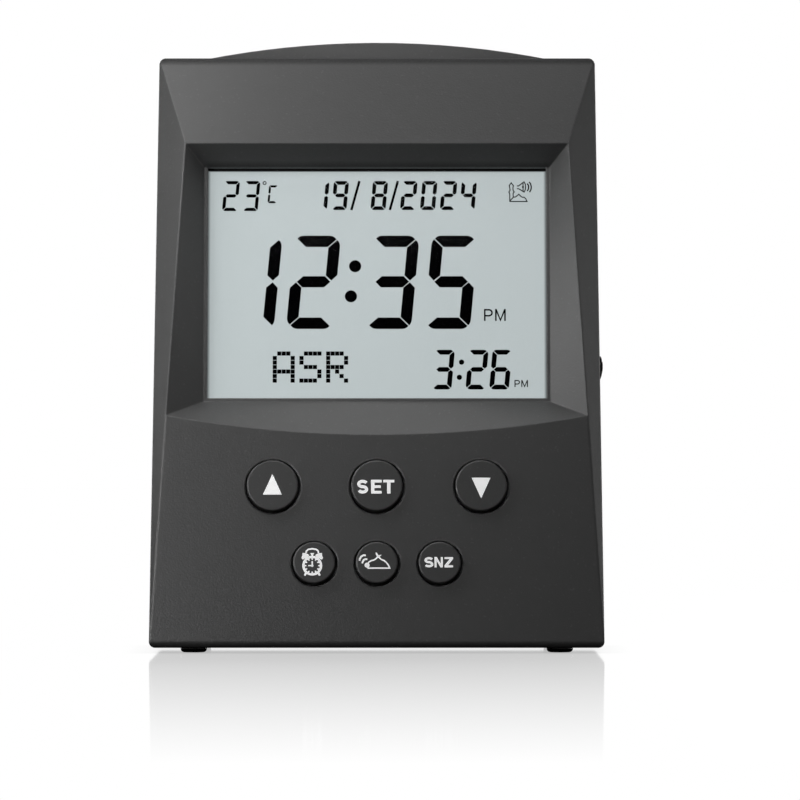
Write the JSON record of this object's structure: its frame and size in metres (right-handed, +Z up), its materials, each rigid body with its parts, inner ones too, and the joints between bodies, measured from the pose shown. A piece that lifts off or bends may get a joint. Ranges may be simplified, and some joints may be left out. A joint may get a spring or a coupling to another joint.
{
  "type": "azan clock",
  "caption": "Leaning digital desk clock that sounds the call to prayer: sunk display, two rows of round keys, side volume wheel, speaker and battery door in the back.",
  "frame": {"origin": "on the table, under the middle of the case, at the underside of the feet", "axes": "+X to the clock's right as its user sees it, +Y to its back (the display faces -Y), +Z up"},
  "size_m": [0.0864, 0.0447, 0.117],
  "materials": {
    "case_plastic": "dark grey, finely spark-textured",
    "key_plastic": "dark grey, fine texture",
    "clear_window": "clear, polished",
    "display_glass": "grey reflective display",
    "white_plastic": "plain white moulding",
    "light_guide": "frosted clear",
    "lamp_resin": "pale resin",
    "strip_rubber": "soft silicone",
    "board_laminate": "green solder mask",
    "switch_plastic": "black nylon",
    "wheel_plastic": "black, knurled edge",
    "resin": "black resin",
    "bright_metal": "nickel plated",
    "capacitor_sleeve": "shrunk sleeve",
    "pressed_steel": "zinc plated",
    "cone_paper": "black pulp",
    "magnet_ferrite": "sintered ferrite in a steel cup",
    "cell_wrap": "plain sleeve, no print",
    "screw_steel": "zinc plated",
    "foot_rubber": "black, slightly glossy"
  },
  "bodies": {
    "case": {"front_shell": "case_plastic", "rear_shell": "case_plastic", "display_window": "clear_window", "lcd_panel": "display_glass", "lcd_holder": "white_plastic", "backlight_guide": "light_guide", "backlight_lamps": "lamp_resin", "contact_strip_upper": "strip_rubber", "contact_strip_lower": "strip_rubber", "main_board": "board_laminate", "switch_bodies": "switch_plastic", "volume_potentiometer": "switch_plastic", "clock_chip": "resin", "sound_chip": "resin", "quartz_crystal": "bright_metal", "filter_capacitor": "capacitor_sleeve", "thermistor": "resin", "speaker_basket": "pressed_steel", "speaker_cone": "cone_paper", "speaker_magnet": "magnet_ferrite", "cell_lower": "cell_wrap", "cell_upper": "cell_wrap", "contact_bridge": "bright_metal", "contact_spring": "bright_metal", "contact_plate": "bright_metal", "case_screws": "screw_steel", "board_screws": "screw_steel", "foot_front_left": "foot_rubber", "foot_front_right": "foot_rubber", "foot_back_left": "foot_rubber", "foot_back_right": "foot_rubber"},
    "key_up_button": {"key_up": "key_plastic", "key_up_plunger": "switch_plastic"},
    "key_set_button": {"key_set": "key_plastic", "key_set_plunger": "switch_plastic"},
    "key_down_button": {"key_down": "key_plastic", "key_down_plunger": "switch_plastic"},
    "key_alarm_button": {"key_alarm": "key_plastic", "key_alarm_plunger": "switch_plastic"},
    "key_azan_button": {"key_azan": "key_plastic", "key_azan_plunger": "switch_plastic"},
    "key_snooze_button": {"key_snooze": "key_plastic", "key_snooze_plunger": "switch_plastic"},
    "volume_wheel": {"volume_wheel": "wheel_plastic"},
    "battery_door": {"battery_door": "case_plastic"}
  },
  "joints": [
    {"name": "key_up_press", "type": "slide", "parent": "case", "child": "key_up_button", "axis": [0, 0.9816, -0.1908], "range_m": [0, 0.0005], "stiffness_N_per_m": 400},
    {"name": "key_set_press", "type": "slide", "parent": "case", "child": "key_set_button", "axis": [0, 0.9816, -0.1908], "range_m": [0, 0.0005], "stiffness_N_per_m": 400},
    {"name": "key_down_press", "type": "slide", "parent": "case", "child": "key_down_button", "axis": [0, 0.9816, -0.1908], "range_m": [0, 0.0005], "stiffness_N_per_m": 400},
    {"name": "key_alarm_press", "type": "slide", "parent": "case", "child": "key_alarm_button", "axis": [0, 0.9816, -0.1908], "range_m": [0, 0.0005], "stiffness_N_per_m": 400},
    {"name": "key_azan_press", "type": "slide", "parent": "case", "child": "key_azan_button", "axis": [0, 0.9816, -0.1908], "range_m": [0, 0.0005], "stiffness_N_per_m": 400},
    {"name": "key_snooze_press", "type": "slide", "parent": "case", "child": "key_snooze_button", "axis": [0, 0.9816, -0.1908], "range_m": [0, 0.0005], "stiffness_N_per_m": 400},
    {"name": "volume_turn", "type": "hinge", "parent": "case", "child": "volume_wheel", "pos_m": [0.0385, 0.00451, 0.05402], "axis": [0, 0.9816, -0.1908], "range_deg": [0, 300]},
    {"name": "battery_door_swing", "type": "hinge", "parent": "case", "child": "battery_door", "pos_m": [0, 0.0216, 0.0065], "axis": [-1, 0, 0], "range_deg": [0, 75]}
  ]
}
